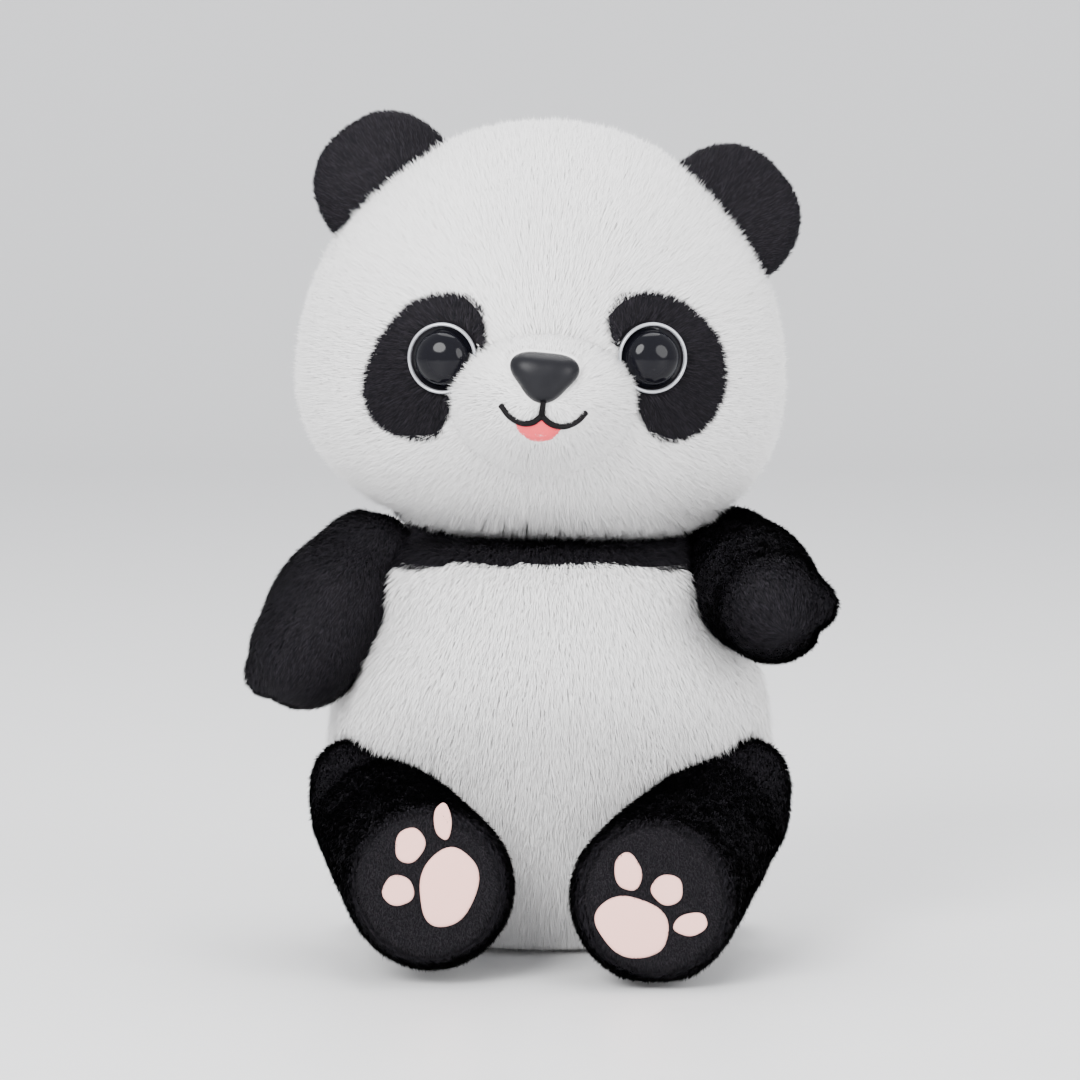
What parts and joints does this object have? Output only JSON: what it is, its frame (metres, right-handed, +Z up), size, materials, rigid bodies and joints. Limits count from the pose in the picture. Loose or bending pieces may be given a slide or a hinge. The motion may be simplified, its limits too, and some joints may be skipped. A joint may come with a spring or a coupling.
{
  "type": "plush panda",
  "caption": "Seated plush panda in long white and black pile, with glossy rimmed eyes, a moulded nose, an embroidered smile and pink paw prints on its soles",
  "frame": {"origin": "middle of the flat seat that the toy rests on", "axes": "+Z up, from the seat to the top of the head; the toy looks along -Y and its own left side is at +X"},
  "size_m": [0.195, 0.1928, 0.2817],
  "materials": {
    "white_plush": "matte",
    "black_plush": "matte",
    "sole_velour": "matte",
    "pink_pad": "matte",
    "tongue_felt": "matte",
    "mouth_thread": "satin",
    "white_thread": "satin",
    "base_cloth": "matte",
    "lining_cloth": "matte",
    "fibre_filling": "matte",
    "bead_plastic": "matte",
    "eye_plastic": "gloss",
    "eye_rim": "gloss",
    "nose_plastic": "satin",
    "washer_plastic": "matte"
  },
  "bodies": {
    "torso": {"belly_panel": "white_plush", "back_panel_left": "white_plush", "back_panel_right": "white_plush", "base_panel": "base_cloth", "yoke_front": "black_plush", "yoke_back": "black_plush", "closing_stitches": "white_thread", "torso_stuffing": "fibre_filling", "bead_pouch": "lining_cloth", "bead_fill": "bead_plastic"},
    "neck": {"neck_core": "fibre_filling"},
    "head": {"face_left": "white_plush", "face_right": "white_plush", "head_back_left": "white_plush", "head_back_right": "white_plush", "eye_patch_left": "black_plush", "eye_patch_right": "black_plush", "eye_dome_left": "eye_plastic", "eye_dome_right": "eye_plastic", "eye_ring_left": "eye_rim", "eye_ring_right": "eye_rim", "eye_washer_left": "washer_plastic", "eye_washer_right": "washer_plastic", "muzzle_cover": "white_plush", "muzzle_stuffing": "fibre_filling", "nose": "nose_plastic", "nose_washer": "washer_plastic", "mouth_thread": "mouth_thread", "tongue": "tongue_felt", "head_stuffing": "fibre_filling"},
    "tail": {"tail_cover": "white_plush", "tail_stuffing": "fibre_filling"},
    "ear_left": {"ear_front_left": "black_plush", "ear_back_left": "black_plush", "ear_padding_left": "fibre_filling"},
    "shoulder_left": {"shoulder_plug_left": "fibre_filling"},
    "arm_left": {"arm_outer_left": "black_plush", "arm_inner_left": "black_plush", "arm_stuffing_left": "fibre_filling"},
    "leg_left": {"leg_cover_left": "black_plush", "leg_sole_left": "sole_velour", "leg_stuffing_left": "fibre_filling", "leg_main_pad_left": "pink_pad", "leg_toe_pads_left": "pink_pad"},
    "ear_right": {"ear_front_right": "black_plush", "ear_back_right": "black_plush", "ear_padding_right": "fibre_filling"},
    "shoulder_right": {"shoulder_plug_right": "fibre_filling"},
    "arm_right": {"arm_outer_right": "black_plush", "arm_inner_right": "black_plush", "arm_stuffing_right": "fibre_filling"},
    "leg_right": {"leg_cover_right": "black_plush", "leg_sole_right": "sole_velour", "leg_stuffing_right": "fibre_filling", "leg_main_pad_right": "pink_pad", "leg_toe_pads_right": "pink_pad"}
  },
  "joints": [
    {"name": "neck_turn", "type": "hinge", "parent": "torso", "child": "neck", "pos_m": [0, 0, 0.138], "axis": [0, 0, 1], "range_deg": [-30, 30], "stiffness_Nm_per_rad": 0.5},
    {"name": "head_nod", "type": "hinge", "parent": "neck", "child": "head", "pos_m": [0, 0, 0.166], "axis": [1, 0, 0], "range_deg": [-12, 12], "stiffness_Nm_per_rad": 0.9},
    {"name": "ear_right_fold", "type": "hinge", "parent": "head", "child": "ear_right", "pos_m": [-0.05413, 0, 0.25778], "axis": [0.7826, 0, 0.6225], "range_deg": [-15, 15], "stiffness_Nm_per_rad": 0.012},
    {"name": "ear_left_fold", "type": "hinge", "parent": "head", "child": "ear_left", "pos_m": [0.05857, 0, 0.24693], "axis": [0.6494, 0, -0.7604], "range_deg": [-15, 15], "stiffness_Nm_per_rad": 0.012},
    {"name": "arm_right_swing", "type": "hinge", "parent": "torso", "child": "shoulder_right", "pos_m": [-0.062, 0, 0.13], "axis": [1, 0, 0], "range_deg": [-40, 15], "stiffness_Nm_per_rad": 0.08},
    {"name": "arm_right_spread", "type": "hinge", "parent": "shoulder_right", "child": "arm_right", "pos_m": [-0.062, 0, 0.13], "axis": [0, 0.8321, -0.5547], "range_deg": [-3, 40], "stiffness_Nm_per_rad": 0.08},
    {"name": "arm_left_swing", "type": "hinge", "parent": "torso", "child": "shoulder_left", "pos_m": [0.062, 0, 0.13], "axis": [1, 0, 0], "range_deg": [-30, 15], "stiffness_Nm_per_rad": 0.08},
    {"name": "arm_left_spread", "type": "hinge", "parent": "shoulder_left", "child": "arm_left", "pos_m": [0.062, 0, 0.13], "axis": [0, -0.2272, 0.9738], "range_deg": [-3, 40], "stiffness_Nm_per_rad": 0.08},
    {"name": "leg_right_lift", "type": "hinge", "parent": "torso", "child": "leg_right", "pos_m": [-0.06, -0.022, 0.046], "axis": [-1, 0, 0], "range_deg": [-8, 18], "stiffness_Nm_per_rad": 0.4},
    {"name": "leg_left_lift", "type": "hinge", "parent": "torso", "child": "leg_left", "pos_m": [0.06, -0.022, 0.046], "axis": [-1, 0, 0], "range_deg": [-8, 18], "stiffness_Nm_per_rad": 0.4},
    {"name": "tail_flex", "type": "hinge", "parent": "torso", "child": "tail", "pos_m": [0, 0.056, 0.028], "axis": [1, 0, 0], "range_deg": [-12, 12], "stiffness_Nm_per_rad": 0.008}
  ]
}
